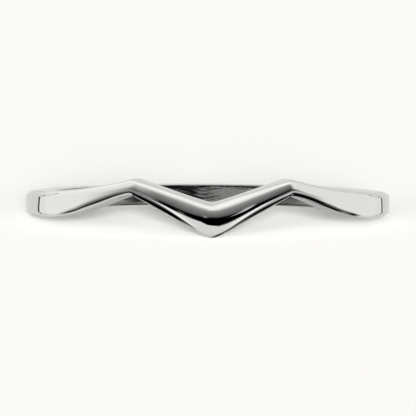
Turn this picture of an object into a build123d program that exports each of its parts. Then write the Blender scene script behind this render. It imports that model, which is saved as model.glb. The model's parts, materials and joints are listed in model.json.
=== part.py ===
from build123d import *

import math
import os

# Polished chevron ring: one cast band whose front dips to a soft V between two raised shoulders.
# All lengths are in millimetres and all angles in degrees.
#
# The band is drawn with the finger hole's axis along Z and the V's tip at -Y, pointing down.
# It is then leaned back until it rests on the V's tip and on the rear of the shank, as it lies
# by itself. The origin is on that surface, under the middle of the ring.

os.makedirs("parts", exist_ok=True)

# Driving dimensions
FINGER_DIAMETER = 17.35
OUTER_DIAMETER = 20.0
SHANK_WIDTH = 1.16
EASE_DEPTH = 0.13  # radial depth of the eased rim on both sides of the finger hole
EASE_SLOPE = 0.6  # height of the eased rim for each unit of its depth

# The chevron runs from shoulder to shoulder, and each edge is two straight slopes, eased at the tip
SHOULDER_ANGLE = 26
TIP_TOP = 0.54
TIP_BOTTOM = -1.30
TOP_SLOPE = 0.294
BOTTOM_SLOPE = 0.53
TOP_EASE = 0.30
BOTTOM_EASE = 0.17
TIP_SWELL = 0.20  # how far the face at the tip stands outside the shank's radius

# A row is one section of the chevron, from the V's tip towards a shoulder.
# angle: round the ring from the V's tip. ridge: where the face stands proudest, as a share of the
# height from the bottom. crown: radius of the face's curve. upper, lower: radii of its corners.
CHEVRON_COLUMNS = ("angle", "ridge", "crown", "upper", "lower")
CHEVRON_ROWS = (
    (0, 0.34, 1.40, 0.80, 0.30),
    (5.2, 0.29, 1.50, 0.76, 0.26),
    (10.4, 0.31, 1.28, 0.63, 0.30),
    (15.6, 0.35, 1.15, 0.53, 0.38),
    (20.8, 0.365, 1.00, 0.50, 0.36),
)

# A row is one section of the band's side, from a shoulder's crest round to the plain shank.
# top_rise, bottom_rise: how much higher each side wall stands than on the plain shank.
SIDE_COLUMNS = ("angle", "top_rise", "bottom_rise", "ridge", "crown", "upper", "lower")
SIDE_ROWS = (
    (26, 1.16, 1.45, 0.35, 0.92, 0.50, 0.28),
    (36, 0.775, 0.92, 0.45, 1.4, 0.48, 0.30),
    (46, 0.525, 0.43, 0.50, 3.3, 0.43, 0.32),
    (56, 0.365, 0.135, 0.50, 5.5, 0.37, 0.32),
    (66, 0.225, 0.015, 0.50, 7.0, 0.32, 0.31),
    (76, 0.12, 0.0, 0.50, 7.5, 0.29, 0.30),
    (86, 0.045, 0.0, 0.50, 8.0, 0.28, 0.29),
    (96, 0.01, 0.0, 0.50, 8.0, 0.28, 0.29),
    (106, 0.0, 0.0, 0.50, 8.0, 0.28, 0.29),
)

# Sizes that follow from the driving dimensions
FINGER_RADIUS = FINGER_DIAMETER / 2
OUTER_RADIUS = OUTER_DIAMETER / 2
HALF_WIDTH = SHANK_WIDTH / 2
RIM_RADIUS = FINGER_RADIUS + EASE_DEPTH
BORE_STOCK = 0.5  # metal that each section leaves inside the finger hole, to be bored out
STOCK_RADIUS = FINGER_RADIUS - BORE_STOCK
STOCK_DROP = EASE_SLOPE * (EASE_DEPTH + BORE_STOCK)
BORE_HEIGHT = 4 * SHANK_WIDTH


def chevron_row(values):
    """One section of the chevron, named, with its walls' heights and its swell."""
    row = dict(zip(CHEVRON_COLUMNS, values))
    across = OUTER_RADIUS * math.sin(math.radians(row["angle"]))
    share = row["angle"] / SHOULDER_ANGLE
    row["top"] = TIP_TOP + TOP_SLOPE * (math.hypot(across, TOP_EASE) - TOP_EASE)
    row["bottom"] = TIP_BOTTOM + BOTTOM_SLOPE * (math.hypot(across, BOTTOM_EASE) - BOTTOM_EASE)
    row["swell"] = TIP_SWELL * (1 - share**2) ** 2
    return row


def side_row(values):
    """One section of the side, named, with its walls' heights and no swell."""
    row = dict(zip(SIDE_COLUMNS, values))
    row["top"] = HALF_WIDTH + row["top_rise"]
    row["bottom"] = -HALF_WIDTH + row["bottom_rise"]
    row["swell"] = 0
    return row


SIDE = [side_row(values) for values in SIDE_ROWS]
CREST = SIDE[0]
SHANK = SIDE[-1]
CHEVRON = [chevron_row(values) for values in CHEVRON_ROWS]
TIP = CHEVRON[0]


def section_plane(angle):
    """A plane through the ring's axis: its x runs outwards at this angle, its y up the axis."""
    turn = math.radians(angle)
    outward = (math.sin(turn), -math.cos(turn), 0)
    across = (-math.cos(turn), -math.sin(turn), 0)
    return Plane(origin=(0, 0, 0), x_dir=outward, z_dir=across)


def corner(row, side, radius):
    """Three points of the arc from a side wall to the crowned face: side is 1 above, -1 below."""
    edge = row["top"] if side > 0 else row["bottom"]
    ridge = row["bottom"] + row["ridge"] * (row["top"] - row["bottom"])
    crown = row["crown"]
    crown_x = OUTER_RADIUS + row["swell"] - crown
    rise = abs(edge - ridge) - radius
    reach = math.sqrt((crown - radius) ** 2 - rise**2)
    centre = (crown_x + reach, edge - side * radius)
    meet = math.atan2(rise, reach)
    halfway = (meet + math.pi / 2) / 2
    return (
        (centre[0], edge),
        (centre[0] + radius * math.cos(halfway), centre[1] + side * radius * math.sin(halfway)),
        (crown_x + crown * math.cos(meet), ridge + side * crown * math.sin(meet)),
    )


def section_face(row, angle):
    """One closed section: two side walls, two round corners, a crowned face and eased rims."""
    top, bottom = row["top"], row["bottom"]
    ridge = (OUTER_RADIUS + row["swell"], bottom + row["ridge"] * (top - bottom))
    upper = corner(row, 1, row["upper"])
    lower = corner(row, -1, row["lower"])
    with BuildSketch(section_plane(angle)) as sketch:
        with BuildLine():
            Line((RIM_RADIUS, top), upper[0])
            ThreePointArc(*upper)
            ThreePointArc(upper[2], ridge, lower[2])
            ThreePointArc(*reversed(lower))
            Line(lower[0], (RIM_RADIUS, bottom))
            Polyline(
                (RIM_RADIUS, bottom),
                (STOCK_RADIUS, bottom + STOCK_DROP),
                (STOCK_RADIUS, top - STOCK_DROP),
                (RIM_RADIUS, top),
            )
        make_face()
    return sketch.sketch.face()


def chevron():
    """The V from shoulder to shoulder, smooth across its tip."""
    rows = CHEVRON + [CREST]
    left = [section_face(row, -row["angle"]) for row in reversed(rows)]
    right = [section_face(row, row["angle"]) for row in rows[1:]]
    return loft(left + right)


def flank(side):
    """One side of the band, from a shoulder's crest to the plain shank: side is 1 or -1."""
    return loft([section_face(row, side * row["angle"]) for row in SIDE])


def rear():
    """The plain back of the shank: one section turned about the axis from flank to flank."""
    return revolve(section_face(SHANK, SHANK["angle"]), Axis.Z, 360 - 2 * SHANK["angle"])


def lean_angle():
    """The lean at which the inside of the V's tip and the rear's lower corner touch down."""
    rear_reach = corner(SHANK, -1, SHANK["lower"])[0][0]
    return math.degrees(math.atan2(SHANK["bottom"] - TIP["bottom"], rear_reach + RIM_RADIUS))


def chevron_band():
    """The whole band, bored to the finger's size and laid on the surface."""
    blank = chevron() + flank(1) + flank(-1) + rear()
    bored = blank - Cylinder(FINGER_RADIUS, BORE_HEIGHT)
    leaned = bored.rotate(Axis.X, -lean_angle())
    box = leaned.bounding_box()
    return Pos(0, -box.center().Y, -box.min.Z) * leaned


export_step(chevron_band(), "parts/chevron_band.step")
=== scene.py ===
import json
import math

import bmesh
import bpy
from mathutils import Matrix, Vector


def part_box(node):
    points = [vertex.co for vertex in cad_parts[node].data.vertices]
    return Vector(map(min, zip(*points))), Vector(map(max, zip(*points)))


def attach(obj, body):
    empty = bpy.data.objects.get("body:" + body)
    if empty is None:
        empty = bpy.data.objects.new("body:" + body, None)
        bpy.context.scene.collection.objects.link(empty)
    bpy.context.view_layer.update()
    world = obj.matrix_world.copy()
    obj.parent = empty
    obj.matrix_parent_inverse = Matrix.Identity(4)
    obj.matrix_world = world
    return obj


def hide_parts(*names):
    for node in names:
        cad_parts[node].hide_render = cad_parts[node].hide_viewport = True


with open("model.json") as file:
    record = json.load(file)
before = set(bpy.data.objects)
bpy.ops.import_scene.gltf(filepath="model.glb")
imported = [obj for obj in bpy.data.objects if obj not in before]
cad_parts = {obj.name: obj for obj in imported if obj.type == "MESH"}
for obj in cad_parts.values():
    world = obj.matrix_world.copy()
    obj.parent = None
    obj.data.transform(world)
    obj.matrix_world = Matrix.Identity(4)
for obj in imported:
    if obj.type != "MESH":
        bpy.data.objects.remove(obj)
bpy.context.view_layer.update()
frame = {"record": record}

bl_info = {
    "name": "Polished chevron ring",
    "version": (1, 0, 0),
    "blender": (4, 5, 0),
    "location": "3D View > Sidebar > Chevron ring",
    "description": "Models a polished chevron ring and lays it in a plain studio",
    "category": "Add Mesh",
}

# Units
MM = 0.001
DEGREE = math.pi / 180

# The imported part
NODE = "chevron_band"
PIECE = "polished_band"
LOW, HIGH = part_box(NODE)
HOLE = next(mount for mount in frame["record"]["mounts"] if mount["name"] == "finger_hole")
HOLE_RADIUS = HOLE["dims"]["r_mm"] * MM
LEAN = math.atan2(HOLE["axis"][1], HOLE["axis"][2])

# Directions of the face's own slope, in degrees above level, where the section's arcs meet
SLOPES = (90, 46, 20, 3.5, -3.5, -26, -50, -90)

# A row is one station of the band, from the V's tip round one side to the plain rear.
# angle: round the ring from the tip, in degrees. The rest are where the face reaches each of the
# slopes between level top and level bottom, as shares of the section's height from its bottom.
SLOPE_COLUMNS = ("angle", "up_46", "up_20", "up_3", "down_3", "down_26", "down_50")
SLOPE_ROWS = (
    (0, 0.862, 0.603, 0.372, 0.305, 0.100, 0.040),
    (2.5, 0.864, 0.555, 0.345, 0.280, 0.075, 0.032),
    (5, 0.867, 0.515, 0.318, 0.258, 0.065, 0.027),
    (8.5, 0.876, 0.488, 0.325, 0.275, 0.105, 0.035),
    (13, 0.882, 0.498, 0.360, 0.322, 0.180, 0.045),
    (17.5, 0.888, 0.497, 0.383, 0.350, 0.220, 0.040),
    (21, 0.880, 0.490, 0.383, 0.350, 0.225, 0.035),
    (23.5, 0.860, 0.490, 0.376, 0.340, 0.205, 0.030),
    (26, 0.835, 0.505, 0.370, 0.325, 0.185, 0.030),
    (31, 0.835, 0.60, 0.44, 0.360, 0.175, 0.045),
    (36, 0.856, 0.70, 0.53, 0.370, 0.155, 0.066),
    (46, 0.900, 0.79, 0.66, 0.330, 0.130, 0.052),
    (56, 0.925, 0.83, 0.73, 0.250, 0.115, 0.048),
    (70, 0.930, 0.85, 0.78, 0.220, 0.125, 0.055),
    (90, 0.930, 0.86, 0.80, 0.200, 0.140, 0.070),
    (180, 0.930, 0.86, 0.80, 0.200, 0.140, 0.070),
)

# A row is one station of the side: how much higher each wall stands than on the plain shank,
# in millimetres. The rows start before the crest so that the crest can be rounded.
SIDE_COLUMNS = ("angle", "top_rise", "bottom_rise")
SIDE_ROWS = (
    (21, 1.40, 1.53),
    (26, 1.165, 1.45),
    (31, 0.95, 1.22),
    (36, 0.785, 0.93),
    (41, 0.645, 0.67),
    (46, 0.525, 0.43),
    (51, 0.44, 0.265),
    (56, 0.365, 0.135),
    (61, 0.295, 0.055),
    (66, 0.225, 0.015),
    (76, 0.12, 0.0),
    (86, 0.045, 0.0),
    (96, 0.01, 0.0),
    (106, 0.0, 0.0),
)

# How the V's edges are rounded where they meet, at its tip and at the shoulders' crests
TIP_TOP_EASE = 0.30 * MM
TIP_BOTTOM_EASE = 0.17 * MM
CREST_EASE = 0.03 * MM
PLAIN_SIDE = 15  # degrees past a crest from which the side's own walls are the band's

# The eased rims of the finger hole, for each unit of their depth
EASE_SLOPE = 0.6  # height of the rim
EASE_FOOT = 1.6  # where the bore is plain, in heights of the rim

# Where the cage's stations stand, in degrees from the tip: close at the tip and at the crests
FRONT_STATIONS = (0, 1.2, 2.6, 4.4, 6.8, 9.7, 12.9, 16.2, 19.2, 21.7, 23.6, 25.2, 26.7, 28.4, 30.5)
SIDE_STATIONS = (33.2, 36.4, 40.2, 44.5, 49.3, 54.5, 60.0, 65.7, 71.6, 77.6)
REAR_STEPS = 17

# How the cage is moved until its smoothed surface passes through the sections
CAGE_ROUNDS = 14
CAGE_FIT = 1.2


def half_stations():
    """The angles of all the stations from the tip round one side to the middle of the rear."""
    last = SIDE_STATIONS[-1]
    rear = [last + (180 - last) * step / REAR_STEPS for step in range(1, REAR_STEPS + 1)]
    return [*FRONT_STATIONS, *SIDE_STATIONS, *rear]


def smooth_curve(xs, ys):
    """A smooth curve through the rows of one column, as a function of the angle."""
    steps = [xs[i + 1] - xs[i] for i in range(len(xs) - 1)]
    slopes = [(ys[i + 1] - ys[i]) / steps[i] for i in range(len(steps))]
    ends = [slopes[0]]
    for i in range(1, len(steps)):
        weighed = slopes[i - 1] * steps[i] + slopes[i] * steps[i - 1]
        ends.append(weighed / (steps[i] + steps[i - 1]))
    ends.append(slopes[-1])

    def value(x):
        if x >= xs[-1]:
            return ys[-1]
        if x <= xs[0]:
            return ys[0] + ends[0] * (x - xs[0])
        i = max(k for k in range(len(steps)) if xs[k] <= x)
        t = (x - xs[i]) / steps[i]
        rise = ys[i + 1] - ys[i]
        a = ends[i] * steps[i] - rise
        b = rise - ends[i + 1] * steps[i]
        return ys[i] + t * rise + t * (1 - t) * ((1 - t) * a + t * b)

    return value


def curves(columns, rows):
    """One smooth curve for each column after the angle."""
    angles = [row[0] for row in rows]
    return {
        name: smooth_curve(angles, [row[i] for row in rows])
        for i, name in enumerate(columns)
        if name != "angle"
    }


SLOPE_CURVES = curves(SLOPE_COLUMNS, SLOPE_ROWS)
SIDE_CURVES = curves(SIDE_COLUMNS, SIDE_ROWS)


class RingSizes(bpy.types.PropertyGroup):
    """The band's sizes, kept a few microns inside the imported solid's"""

    outer_diameter: bpy.props.FloatProperty(
        name="Outer diameter",
        description="Across the shank",
        default=19.994 * MM,
        unit="LENGTH",
    )
    shank_width: bpy.props.FloatProperty(
        name="Shank width",
        description="Along the finger",
        default=1.16 * MM,
        unit="LENGTH",
    )
    ease_depth: bpy.props.FloatProperty(
        name="Rim ease",
        description="Depth of the eased rims of the finger hole",
        default=0.13 * MM,
        unit="LENGTH",
    )
    tip_top: bpy.props.FloatProperty(
        name="Tip top",
        description="Top wall above the finger hole's middle",
        default=0.54 * MM,
        unit="LENGTH",
    )
    tip_bottom: bpy.props.FloatProperty(
        name="Tip bottom",
        description="Bottom wall at the V's tip",
        default=-1.30 * MM,
        unit="LENGTH",
    )
    tip_swell: bpy.props.FloatProperty(
        name="Tip swell",
        description="How far the face swells at the V's tip",
        default=0.197 * MM,
        unit="LENGTH",
    )
    top_slope: bpy.props.FloatProperty(
        name="Top slope", description="Rise of the V's top edge", default=0.300
    )
    bottom_slope: bpy.props.FloatProperty(
        name="Bottom slope", description="Rise of the V's bottom edge", default=0.53
    )
    shoulder_angle: bpy.props.FloatProperty(
        name="Shoulder angle",
        description="From the V's tip to each crest",
        default=math.radians(26),
        subtype="ANGLE",
    )


class RingFinish(bpy.types.PropertyGroup):
    """The colours and the polish of the band, with painted shade in the bore's dark colour, and
    the colour of the studio's paper
    """

    metal: bpy.props.FloatVectorProperty(
        name="Metal",
        description="Colour of the polished metal",
        default=(0.80, 0.80, 0.785),
        size=3, min=0, max=1, subtype="COLOR",
    )
    polish: bpy.props.FloatProperty(
        name="Polish",
        description="Roughness of the polished faces",
        default=0.03,
        min=0, max=1, subtype="FACTOR",
    )
    # Painted shade: the bore gets a colour far darker than the metal's, standing in for the dark
    # reflections inside the finger hole
    bore: bpy.props.FloatVectorProperty(
        name="Bore",
        description="Colour of the satin metal inside the finger hole",
        default=(0.25, 0.25, 0.245),
        size=3, min=0, max=1, subtype="COLOR",
    )
    inside: bpy.props.FloatProperty(
        name="Inside",
        description="Roughness inside the finger hole",
        default=0.07,
        min=0, max=1, subtype="FACTOR",
    )
    paper: bpy.props.FloatVectorProperty(
        name="Paper",
        description="Colour of the surface and backdrop",
        default=(0.968, 0.959, 0.925),
        size=3, min=0, max=1, subtype="COLOR",
    )


def rounded_peak(a, b, ease):
    """The lower of two crossing lines, rounded by the ease where they meet."""
    return (a + b) / 2 - math.hypot((a - b) / 2, ease)


def station(sizes, angle):
    """The band's section at an angle from the tip: its edges and the face's radius, in metres."""
    half = sizes.shank_width / 2
    radius = sizes.outer_diameter / 2
    crest = math.degrees(sizes.shoulder_angle)
    side_top = half + SIDE_CURVES["top_rise"](angle) * MM
    side_bottom = -half + SIDE_CURVES["bottom_rise"](angle) * MM
    if angle > crest + PLAIN_SIDE:
        return side_top, side_bottom, radius
    across = radius * math.sin(math.radians(angle))
    share = min(angle / crest, 1)
    top_run = math.hypot(across, TIP_TOP_EASE) - TIP_TOP_EASE
    bottom_run = math.hypot(across, TIP_BOTTOM_EASE) - TIP_BOTTOM_EASE
    top = rounded_peak(sizes.tip_top + sizes.top_slope * top_run, side_top, CREST_EASE)
    bottom = rounded_peak(
        sizes.tip_bottom + sizes.bottom_slope * bottom_run, side_bottom, CREST_EASE
    )
    return top, bottom, radius + sizes.tip_swell * (1 - share**2) ** 2


def face_points(top, bottom, angle):
    """The face's curve from the top wall to the bottom one, as arcs between the named slopes."""
    shares = [1, *(SLOPE_CURVES[name](angle) for name in SLOPE_COLUMNS[1:]), 0]
    heights = [bottom + share * (top - bottom) for share in shares]
    slopes = [math.radians(slope) for slope in SLOPES]
    points = [(0, heights[0])]
    for i in range(len(slopes) - 1):
        start, end = slopes[i], slopes[i + 1]
        radius = (heights[i] - heights[i + 1]) / (math.sin(start) - math.sin(end))
        x, z = points[-1]
        for share in (0.5, 1):
            turn = start + (end - start) * share
            out = radius * (math.cos(turn) - math.cos(start))
            down = radius * (math.sin(start) - math.sin(turn))
            points.append((x + out, z - down))
    return points


def profile(sizes, angle):
    """All the points of the band's section, from the top rim outwards and round to the bore."""
    top, bottom, face = station(sizes, angle)
    points = face_points(top, bottom, angle)
    out = face - max(x for x, _ in points)
    outside = [(x + out, z) for x, z in points]
    rim = HOLE_RADIUS + sizes.ease_depth
    eased = HOLE_RADIUS + sizes.ease_depth / 3
    ease = EASE_SLOPE * sizes.ease_depth
    upper_wall = [(rim, top), ((rim + outside[0][0]) / 2, top)]
    lower_wall = [((rim + outside[-1][0]) / 2, bottom), (rim, bottom)]
    inner = [
        (eased, bottom + ease / 2),
        (HOLE_RADIUS, bottom + EASE_FOOT * ease),
        (HOLE_RADIUS, (top + bottom) / 2),
        (HOLE_RADIUS, top - EASE_FOOT * ease),
        (eased, top - ease / 2),
    ]
    return [*upper_wall, *outside, *lower_wall, *inner]


def around(angle, points):
    """Places of a section's points, turned round the finger's axis from the tip at -Y."""
    turn = math.radians(angle)
    outward = Vector((math.sin(turn), -math.cos(turn), 0))
    return [outward * radius + Vector((0, 0, height)) for radius, height in points]


def smoothed(grid):
    """Where the smoothed cage passes beside each of its points: a closed grid both ways."""
    rows = []
    for i in range(len(grid)):
        before, here, after = grid[i - 1], grid[i], grid[(i + 1) % len(grid)]
        rows.append([(a + 4 * b + c) / 6 for a, b, c in zip(before, here, after)])
    return [
        [(row[j - 1] + 4 * row[j] + row[(j + 1) % len(row)]) / 6 for j in range(len(row))]
        for row in rows
    ]


def cage_through(places):
    """Moves the points of a cage until its smoothed surface passes through these places."""
    cage = [list(row) for row in places]
    for _ in range(CAGE_ROUNDS):
        passing = smoothed(cage)
        for i, row in enumerate(cage):
            for j in range(len(row)):
                row[j] = row[j] + (places[i][j] - passing[i][j]) * CAGE_FIT
    return cage


def deselect_objects():
    """Leaves no object selected, so that an operator acts on its own piece alone."""
    bpy.ops.object.select_all(action="DESELECT")


def move_loop(obj, loop, places):
    """Moves each vertex of a loop to its place, one at a time."""
    for index, place in zip(loop, places):
        mesh = bmesh.from_edit_mesh(obj.data)
        mesh.verts.ensure_lookup_table()
        for vertex in mesh.verts:
            vertex.select = False
        vertex = mesh.verts[index]
        vertex.select_set(True)
        shift = Vector(place) - vertex.co
        bpy.ops.transform.translate(value=shift)


def select_only(obj, indices):
    """Selects these vertices of the mesh in edit mode, with the edges and faces between them."""
    mesh = bmesh.from_edit_mesh(obj.data)
    bpy.ops.mesh.select_all(action="DESELECT")
    mesh.verts.ensure_lookup_table()
    for index in indices:
        mesh.verts[index].select_set(True)
    mesh.select_flush_mode()
    bmesh.update_edit_mesh(obj.data)


def band_cage(sizes):
    """The band's cage: a circle shaped to the tip's section and extruded all the way round."""
    half = half_stations()
    right = [around(angle, profile(sizes, angle)) for angle in half]
    left = [around(360 - angle, profile(sizes, angle)) for angle in reversed(half[1:-1])]
    cage = cage_through(right + left)
    count = len(cage[0])
    deselect_objects()
    bpy.ops.mesh.primitive_circle_add(
        vertices=count,
        radius=sizes.shank_width / 2,
        location=(0, -sizes.outer_diameter / 2, 0),
        rotation=(0, math.pi / 2, 0),
    )
    band = bpy.context.object
    band.name = PIECE
    bpy.ops.object.transform_apply(location=True, rotation=True, scale=True)
    bpy.ops.object.mode_set(mode="EDIT")
    bpy.ops.mesh.select_mode(type="VERT")
    loop = list(range(count))
    for number, row in enumerate(cage):
        if number:
            select_only(band, loop)
            bpy.ops.mesh.extrude_region_move()
            loop = [count * number + index for index in range(count)]
        move_loop(band, loop, row)
    select_only(band, [*range(count), *loop])
    bpy.ops.mesh.bridge_edge_loops()
    bpy.ops.mesh.select_all(action="SELECT")
    bpy.ops.mesh.normals_make_consistent(inside=False)
    bpy.ops.object.mode_set(mode="OBJECT")
    return band


def add_modifier(obj, kind, **settings):
    """Adds a modifier with its settings and applies it."""
    modifier = obj.modifiers.new(kind.title(), kind)
    for name, value in settings.items():
        setattr(modifier, name, value)
    bpy.ops.object.modifier_apply(modifier=modifier.name)


def lay_down(band):
    """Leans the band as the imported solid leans, and puts it where that lies."""
    bpy.ops.object.mode_set(mode="EDIT")
    bpy.ops.mesh.select_all(action="SELECT")
    bpy.ops.transform.rotate(value=LEAN, orient_axis="X", center_override=(0, 0, 0))
    bpy.ops.object.mode_set(mode="OBJECT")
    low_y = min(vertex.co.y for vertex in band.data.vertices)
    high_y = max(vertex.co.y for vertex in band.data.vertices)
    low_z = min(vertex.co.z for vertex in band.data.vertices)
    shift = (0, (LOW[1] + HIGH[1] - low_y - high_y) / 2, LOW[2] - low_z)
    bpy.ops.object.mode_set(mode="EDIT")
    bpy.ops.transform.translate(value=shift)
    bpy.ops.object.mode_set(mode="OBJECT")


class RING_OT_band(bpy.types.Operator):
    """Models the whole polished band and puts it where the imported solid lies"""

    bl_idname = "ring.band"
    bl_label = "Polished band"

    def execute(self, context):
        band = band_cage(context.scene.ring_sizes)
        add_modifier(band, "SUBSURF", levels=2, render_levels=2)
        lay_down(band)
        bpy.ops.object.shade_smooth()
        band.data.materials.append(polished_metal(context.scene.ring_finish))
        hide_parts(NODE)
        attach(band, "root")
        return {"FINISHED"}


class Maths:
    """A socket that adds Math nodes when Python works with it."""

    def __init__(self, shader, socket):
        self.shader = shader
        self.socket = socket

    def combine(self, operation, *values):
        return self.shader.node("ShaderNodeMath", {"operation": operation}, *values)

    def __add__(self, other):
        return self.combine("ADD", self, other)

    def __sub__(self, other):
        return self.combine("SUBTRACT", self, other)

    def __mul__(self, other):
        return self.combine("MULTIPLY", self, other)

    def __radd__(self, other):
        return self.combine("ADD", other, self)

    def __rsub__(self, other):
        return self.combine("SUBTRACT", other, self)

    def __rmul__(self, other):
        return self.combine("MULTIPLY", other, self)

    def __abs__(self):
        return self.combine("ABSOLUTE", self)


class Shader:
    """Builds a node tree: node() adds any node, sets it up and wires it."""

    def __init__(self, tree):
        self.tree = tree
        tree.nodes.clear()

    def node(self, kind, settings=None, *values, output=0, at=None, **named):
        """A node with its settings. values: its first inputs. at, named: inputs by place or name.

        Gives the socket of the output that is asked for, or the sockets of all where it is None.
        """
        made = self.tree.nodes.new(kind)
        for name, value in (settings or {}).items():
            setattr(made, name, value)
        spelled = {name.replace("_", " "): value for name, value in named.items()}
        for key, value in (*enumerate(values), *(at or {}).items(), *spelled.items()):
            if isinstance(value, Maths):
                self.tree.links.new(value.socket, made.inputs[key])
            else:
                made.inputs[key].default_value = value
        if not made.outputs:
            return made
        if output is None:
            return [Maths(self, socket) for socket in made.outputs]
        return Maths(self, made.outputs[output])

    def smooth(self, value, start, end):
        """0 before start, 1 after end, eased in between."""
        return self.node(
            "ShaderNodeMapRange", {"interpolation_type": "SMOOTHSTEP"}, value, start, end, 0.0, 1.0
        )

    def between(self, value, start, full, fading, end):
        """1 from full to fading, 0 before start and after end, eased in between."""
        return self.smooth(value, start, full) * (1 - self.smooth(value, fading, end))

    def ramp(self, value, start, end, first, last):
        """The first number before start and the last after end, straight in between."""
        return self.node("ShaderNodeMapRange", {}, value, start, end, first, last)

    def blend(self, factor, a, b):
        """Number a where the factor is 0 and b where it is 1."""
        return factor * (b - a) + a

    def colour_blend(self, factor, a, b):
        """Colour a where the factor is 0 and b where it is 1."""
        colours = {0: factor, 6: a, 7: b}
        return self.node("ShaderNodeMix", {"data_type": "RGBA"}, output=2, at=colours)

    def split(self, vector):
        """The x, y and z of a vector."""
        return self.node("ShaderNodeSeparateXYZ", {}, vector, output=None)


def rgba(colour):
    """A colour with the full alpha that a shader's socket asks for."""
    return (*colour, 1.0)


# The satin finish inside the finger hole, whose darker colour is painted shade: where it fades,
# outside the hole's radius, and its drawn marks, which run round the hole in shallow Vs
SATIN_ENDS = 0.005 * MM
POLISH_STARTS = 0.035 * MM
MARKS_ROUND = 3.0
MARKS_ACROSS = 7 / MM
MARKS_SLOPE = 0.2
MARKS_ROUGHNESS = 0.08
MARKS_DEPTH = 0.016

# Faint handling marks on the polished faces
SMUDGE_SCALE = 0.9 / MM
SMUDGE_ROUGHNESS = 0.04
SMUDGE_TINT = 0.10
SMUDGE_COLOUR = (0.72, 0.72, 0.71)
GRAIN_SCALE = 9 / MM
GRAIN_DEPTH = 0.0006
BUMP_STRENGTH = 0.6


def polished_metal(finish):
    """Mirror-polished plating, with a finer satin, drawn finish inside the finger hole, darkened
    there as painted shade.
    """
    material = bpy.data.materials.new("polished_metal")
    material.use_nodes = True
    shader = Shader(material.node_tree)
    place = shader.node("ShaderNodeTexCoord", output="Object")
    level = shader.node(
        "ShaderNodeMapping", {"vector_type": "POINT"}, place, Rotation=(LEAN, 0, 0)
    )
    x, y, z = shader.split(level)
    flat = shader.node("ShaderNodeCombineXYZ", {}, x, y - HOLE["pos_m"][1], 0.0)
    radius = shader.node("ShaderNodeVectorMath", {"operation": "LENGTH"}, flat, output=1)
    inside = 1 - shader.smooth(radius, HOLE_RADIUS + SATIN_ENDS, HOLE_RADIUS + POLISH_STARTS)
    turn = shader.node("ShaderNodeMath", {"operation": "ARCTAN2"}, x, y)
    across = (z - abs(x) * MARKS_SLOPE) * MARKS_ACROSS
    drawn = shader.node("ShaderNodeCombineXYZ", {}, turn * MARKS_ROUND, across, 0.0)
    marks = shader.node("ShaderNodeTexNoise", {}, drawn, Scale=1.0, Detail=5.0)
    smudge = shader.node("ShaderNodeTexNoise", {}, place, Scale=SMUDGE_SCALE, Detail=3.0)
    grain = shader.node("ShaderNodeTexNoise", {}, place, Scale=GRAIN_SCALE, Detail=2.0)
    outside_rough = finish.polish + (smudge - 0.45) * SMUDGE_ROUGHNESS
    inside_rough = finish.inside + (marks - 0.5) * MARKS_ROUGHNESS
    roughness = shader.blend(inside, outside_rough, inside_rough)
    outside = shader.colour_blend(smudge * SMUDGE_TINT, rgba(finish.metal), rgba(SMUDGE_COLOUR))
    # Painted shade: inside the finger hole the metal takes the bore's dark colour
    colour = shader.colour_blend(inside, outside, rgba(finish.bore))
    height = inside * marks * MARKS_DEPTH + grain * GRAIN_DEPTH
    bump = shader.node("ShaderNodeBump", {}, Height=height, Distance=MM, Strength=BUMP_STRENGTH)
    metal = shader.node(
        "ShaderNodeBsdfPrincipled", {},
        Base_Color=colour, Metallic=1.0, Roughness=roughness, Normal=bump,
    )
    shader.node("ShaderNodeOutputMaterial", {}, metal)
    return material


def paper_material(finish):
    """Plain matt paper, evenly lit so that only soft shadows show."""
    material = bpy.data.materials.new("studio_paper")
    material.use_nodes = True
    shader = Shader(material.node_tree)
    paper = shader.node(
        "ShaderNodeBsdfPrincipled", {}, Base_Color=rgba(finish.paper), Roughness=0.9
    )
    shader.node("ShaderNodeOutputMaterial", {}, paper)
    return material


MIRROR_GAIN = 1.25  # makes up for the light that the metal itself takes away
INSIDE_GLOW = 0.25  # how much of the mirrored light is left after a second reflection
SKY_SHARE = 0.06  # of the light on the surface, how much comes evenly from all round

# Soft lamps that light the surface and that the metal doesn't mirror. turn: from the front to the
# right. rise: above the surface. width: how wide the lamp looks. share: of the surface's light.
LAMP_COLUMNS = ("turn", "rise", "width", "share")
LAMP_ROWS = (
    (0, 6, 9, 0.62),
    (-30, 6, 9, 0.05),
    (30, 6, 9, 0.05),
    (-10, 12, 14, 0.10),
    (0, 22, 20, 0.06),
    (0, 60, 40, 0.06),
)

# Brightness of the studio's parts, as the polished metal mirrors them
LEFT_WALL = 0.77
RIGHT_WALL = 0.73
LEFT_WALL_BEHIND = 0.60
RIGHT_WALL_BEHIND = 0.59
CEILING = 0.85
STREAK = 0.60  # a light strip high in the dark opening
SURFACE = 0.66
SURFACE_STEEP = 0.50  # the surface close to the ring
LEFT_UNDER = 0.55  # the surface close to the ring's left side
REAR_UNDER = 0.37  # the surface straight behind the ring

# What the rest adds to the brightness where it stands
LEFT_WALL_HIGH = 0.09
CEILING_SIDES = 0.08
OPENING_HAZE = 0.12
OPENING_TOP = 0.15
OPENING_LEFT = 0.06
SURFACE_FAR = 0.06
SURFACE_SIDES = 0.20
SEAM_RIM = 0.10

# What share of the light the dark parts take away
BAND_STRIP = 0.30
BAND_NEAR = 0.42
SHADE = 0.82
SEAM = 0.97

# How many degrees the studio takes to change over
MIDDLE_BLUR = 6
HORIZON_BLUR = 1.8


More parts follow.
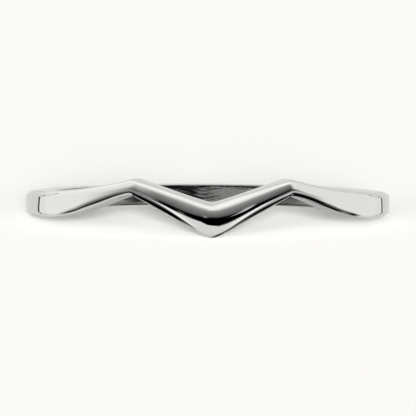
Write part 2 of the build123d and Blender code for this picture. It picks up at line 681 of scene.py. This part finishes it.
def side_walls(shader, rise, front, on_right):
    """The walls of light on both sides, dimmer far behind."""
    smooth, blend = shader.smooth, shader.blend
    far_left = smooth(front, 122, 141) * (1 - smooth(rise, 12, 24))
    left = blend(far_left, LEFT_WALL, LEFT_WALL_BEHIND)
    left = left + LEFT_WALL_HIGH * smooth(rise, 10, 40) * smooth(front, 95, 125)
    behind = smooth(front, 150, 164) * smooth(rise, 16, 28)
    left = blend(behind, left, LEFT_WALL_BEHIND)
    kept = 0.5 * smooth(rise, 8, 16) * (1 - smooth(front, 140, 150))
    far_right = smooth(front, 128, 150) * (1 - kept)
    right = blend(far_right, RIGHT_WALL, RIGHT_WALL_BEHIND)
    return blend(on_right, left, right)


def dark_opening(shader, rise, turn, front, on_right):
    """What shows between the walls in front: darkness with a faint haze and one light strip."""
    smooth, between = shader.smooth, shader.between
    haze = OPENING_HAZE * smooth(rise, 37, 47) + shader.ramp(rise, 47, 66, 0, OPENING_TOP)
    streak = STREAK * between(turn, 5, 9, 14, 20) * between(rise, 20, 30, 38, 48)
    left = OPENING_LEFT * smooth(front, 18, 34) * (1 - on_right) * smooth(rise, 14, 36)
    return haze + streak + left


def upper_light(shader, rise, turn, front, on_right, wall):
    """All that stands above the horizon: the walls, the opening between them and the ceiling."""
    smooth, blend, ramp = shader.smooth, shader.blend, shader.ramp
    left_edge = smooth(front, ramp(rise, 38, 56, 30, 22), ramp(rise, 38, 56, 92, 54))
    walled = blend(on_right, left_edge, smooth(front, 43, 66))
    standing = blend(walled, dark_opening(shader, rise, turn, front, on_right), wall)
    ceiling = CEILING + CEILING_SIDES * shader.between(front, 60, 80, 125, 145)
    return blend(smooth(rise, ramp(turn, -22, -8, 60, 64), 83), standing, ceiling)


def surface_light(shader, rise, front):
    """The light from the surface in front of the ring."""
    steep = shader.blend(shader.smooth(rise, -72, -42), SURFACE_STEEP, SURFACE)
    far = SURFACE_FAR * shader.smooth(rise, 2, 12)
    sides = SURFACE_SIDES * shader.smooth(front, 20, 36) * shader.between(rise, -36, -26, -6, 4)
    return steep + far + sides


def under_sides(shader, rise, front, on_right, wall):
    """The light low on both sides, with the dark band that runs through it."""
    smooth, between, blend, ramp = shader.smooth, shader.between, shader.blend, shader.ramp
    left_top = ramp(front, 60, 92, 40, -18) + ramp(front, 92, 135, 0, -20)
    left_foot = ramp(front, 105, 120, -43, -50)
    left_band = 1 - smooth(rise, left_foot, left_top)
    left_band = left_band * (1 - smooth(front, 132, 152)) * smooth(rise, -55, -50)
    right_top = ramp(front, 60, 84, -22, -34) + ramp(front, 84, 105, 0, -5)
    right_band = (1 - smooth(rise, -44, right_top)) * (1 - smooth(front, 160, 175))
    strip = between(rise, -58, -52, -51, -46) * smooth(front, 75, 92)
    right_band = right_band * (1 - BAND_STRIP * strip)
    near = BAND_NEAR * between(front, 49, 56, 62, 78) * (1 - smooth(rise, -8, 22))
    right_band = blend(near, right_band, 1)
    rear = smooth(front, 165, 176) * (1 - smooth(rise, -6, -2))
    left = blend(rear, blend(smooth(rise, -58, -48), LEFT_UNDER, wall), REAR_UNDER)
    right = blend(rear, wall, REAR_UNDER)
    return blend(on_right, left * (1 - left_band), right * (1 - right_band))


def lower_light(shader, rise, front, on_right, wall):
    """All that lies below the horizon: the surface in front and the light under both sides."""
    smooth, blend, ramp = shader.smooth, shader.blend, shader.ramp
    right_edge = smooth(front, ramp(rise, -50, -40, 24, 44), ramp(rise, -50, -40, 62, 56))
    sideways = blend(on_right, smooth(front, 40, 52), right_edge)
    under = under_sides(shader, rise, front, on_right, wall)
    return blend(sideways, surface_light(shader, rise, front), under)


def horizon(shader, turn, front):
    """The rise at which the surface ends: uneven in front, level at the sides."""
    smooth = shader.smooth
    left = 8 + 5 * smooth(turn, -28, -16) - 5 * smooth(turn, -4, 1)
    ahead = left - 15 * smooth(turn, 0, 9) + 9 * smooth(turn, 34, 44)
    return shader.blend(smooth(front, 44, 62), ahead, -6)


def with_seams(shader, seen, rise, front, on_right):
    """The light with a narrow dark seam far round each side, and a bright rim before it."""
    between = shader.between
    seam = shader.blend(on_right, 134.3 - 0.25 * rise, 141.5 - 0.3 * rise)
    level = between(rise, -34, -24, 20, 34)
    gap = between(front, seam - 1.7, seam - 0.8, seam + 0.8, seam + 1.7)
    rim = between(front, seam - 6, seam - 2, seam - 2, seam - 1)
    return seen * (1 - SEAM * gap * level) + SEAM_RIM * rim * level


def studio_seen(shader, rise, turn):
    """Brightness that the polished metal mirrors from a direction, in degrees of rise and turn."""
    front = abs(turn)
    on_right = shader.smooth(turn, -MIDDLE_BLUR, MIDDLE_BLUR)
    wall = side_walls(shader, rise, front, on_right)
    upper = upper_light(shader, rise, turn, front, on_right, wall)
    lower = lower_light(shader, rise, front, on_right, wall)
    level = horizon(shader, turn, front)
    over = shader.smooth(rise, level - HORIZON_BLUR, level + HORIZON_BLUR)
    seen = shader.blend(over, lower, upper)
    shade = shader.between(front, 45, 48.5, 52, 66) * shader.between(rise, -16, -4, 8, 22)
    seen = seen * (1 - SHADE * shade * on_right)
    return with_seams(shader, seen, rise, front, on_right)


def studio_world(finish):
    """Even light on the surface, and a studio of light walls that only polished metal mirrors."""
    world = bpy.data.worlds.new("studio_light")
    bpy.context.scene.world = world
    world.use_nodes = True
    shader = Shader(world.node_tree)
    x, y, z = shader.split(shader.node("ShaderNodeTexCoord", output="Generated"))
    rise = shader.node("ShaderNodeMath", {"operation": "ARCSINE"}, z) * (1 / DEGREE)
    turn = shader.node("ShaderNodeMath", {"operation": "ARCTAN2"}, x, 0 - y) * (1 / DEGREE)
    depth = shader.node("ShaderNodeLightPath", output="Glossy Depth")
    first = 1 - shader.smooth(depth, 1.2, 1.8) * (1 - INSIDE_GLOW)
    seen = studio_seen(shader, rise, turn) * first * MIRROR_GAIN
    tint = shader.node("ShaderNodeCombineColor", {}, seen, seen * 0.998, seen * 0.985)
    mirrored = shader.node("ShaderNodeBackground", {}, tint, 1.0)
    diffuse = shader.node("ShaderNodeLightPath", output="Is Diffuse Ray")
    strength = 1 - diffuse * (1 - SKY_SHARE)
    plain = shader.node("ShaderNodeBackground", {}, rgba(finish.paper), strength)
    glossy = shader.node("ShaderNodeLightPath", output="Is Glossy Ray")
    light = shader.node("ShaderNodeMixShader", {}, glossy, plain, mirrored)
    shader.node("ShaderNodeOutputWorld", {}, light)


def direction(turn, rise):
    """The direction at a turn from the front to the right and a rise, both in radians."""
    level = math.cos(rise)
    return Vector((math.sin(turn) * level, -math.cos(turn) * level, math.sin(rise)))


def add_lamp(lamp):
    """A wide, far lamp that gives the level surface its share of light."""
    rise = lamp["rise"] * DEGREE
    towards = direction(lamp["turn"] * DEGREE, rise)
    bpy.ops.object.light_add(type="SUN", rotation=towards.to_track_quat("Z", "Y").to_euler())
    light = bpy.context.object
    light.name = "soft_lamp"
    light.data.angle = lamp["width"] * DEGREE
    light.data.energy = lamp["share"] * math.pi / math.sin(rise)
    light.visible_glossy = False


# The photograph's view: distance, rise above the surface, turn to the V's left and roll
CAMERA_DISTANCE = 0.190
CAMERA_RISE = 3.26 * DEGREE + LEAN
CAMERA_TURN = -1.4 * DEGREE
CAMERA_ROLL = 0.34 * DEGREE
CAMERA_REACH = (0.01, 10)  # from where to where the camera sees
SENSOR_WIDTH = 36
RING_PIXELS = 18.14  # per millimetre at the ring's middle
FRAME_PIXELS = 416
RING_MIDDLE = (207.7, 202.9)  # where the ring's middle stands in the frame, in pixels
MIDDLE_DROP = 0.22 * MM  # from the finger hole's middle down its axis to the ring's middle


def place_camera(context):
    """A long lens a little above the ring's own plane."""
    middle = Vector(HOLE["pos_m"]) - Vector(HOLE["axis"]) * MIDDLE_DROP
    back = direction(CAMERA_TURN, CAMERA_RISE)
    turn = (-back).to_track_quat("-Z", "Y").to_matrix() @ Matrix.Rotation(CAMERA_ROLL, 3, "Z")
    right, up = turn.col[0], turn.col[1]
    pixel = MM / RING_PIXELS
    aim = (
        middle
        - right * (RING_MIDDLE[0] - FRAME_PIXELS / 2) * pixel
        + up * (RING_MIDDLE[1] - FRAME_PIXELS / 2) * pixel
    )
    data = bpy.data.cameras.new("camera")
    data.sensor_width = SENSOR_WIDTH
    data.lens = SENSOR_WIDTH * CAMERA_DISTANCE / (FRAME_PIXELS * pixel)
    data.clip_start, data.clip_end = CAMERA_REACH
    camera = bpy.data.objects.new("camera", data)
    camera.matrix_world = Matrix.Translation(aim + back * CAMERA_DISTANCE) @ turn.to_4x4()
    context.scene.collection.objects.link(camera)
    context.scene.camera = camera


STAGE_RADIUS = 0.9


class RING_OT_stage(bpy.types.Operator):
    """Lays the plain surface, sets the soft light and places the camera"""

    bl_idname = "ring.stage"
    bl_label = "Studio"

    def execute(self, context):
        finish = context.scene.ring_finish
        deselect_objects()
        bpy.ops.mesh.primitive_circle_add(
            vertices=64, radius=STAGE_RADIUS, fill_type="NGON", location=(0, 0, 0)
        )
        floor = context.object
        floor.name = "surface"
        floor.data.materials.append(paper_material(finish))
        floor.visible_glossy = False
        studio_world(finish)
        for row in LAMP_ROWS:
            add_lamp(dict(zip(LAMP_COLUMNS, row)))
        place_camera(context)
        context.scene.view_settings.view_transform = "Standard"
        return {"FINISHED"}


class RING_PT_panel(bpy.types.Panel):
    """The ring's sizes and finishes, with a button for the band and one for the studio"""

    bl_idname = "RING_PT_panel"
    bl_label = "Chevron ring"
    bl_space_type = "VIEW_3D"
    bl_region_type = "UI"
    bl_category = "Chevron ring"

    def draw(self, context):
        for group in (context.scene.ring_sizes, context.scene.ring_finish):
            column = self.layout.column(align=True)
            for name in group.__annotations__:
                column.prop(group, name)
        for operator in (RING_OT_band, RING_OT_stage):
            self.layout.operator(operator.bl_idname)


CLASSES = (RingSizes, RingFinish, RING_OT_band, RING_OT_stage, RING_PT_panel)


def register():
    for cls in CLASSES:
        bpy.utils.register_class(cls)
    bpy.types.Scene.ring_sizes = bpy.props.PointerProperty(type=RingSizes)
    bpy.types.Scene.ring_finish = bpy.props.PointerProperty(type=RingFinish)


def unregister():
    del bpy.types.Scene.ring_finish
    del bpy.types.Scene.ring_sizes
    for cls in reversed(CLASSES):
        bpy.utils.unregister_class(cls)


def main():
    register()
    bpy.ops.ring.band()
    bpy.ops.ring.stage()


if __name__ == "__main__":
    main()
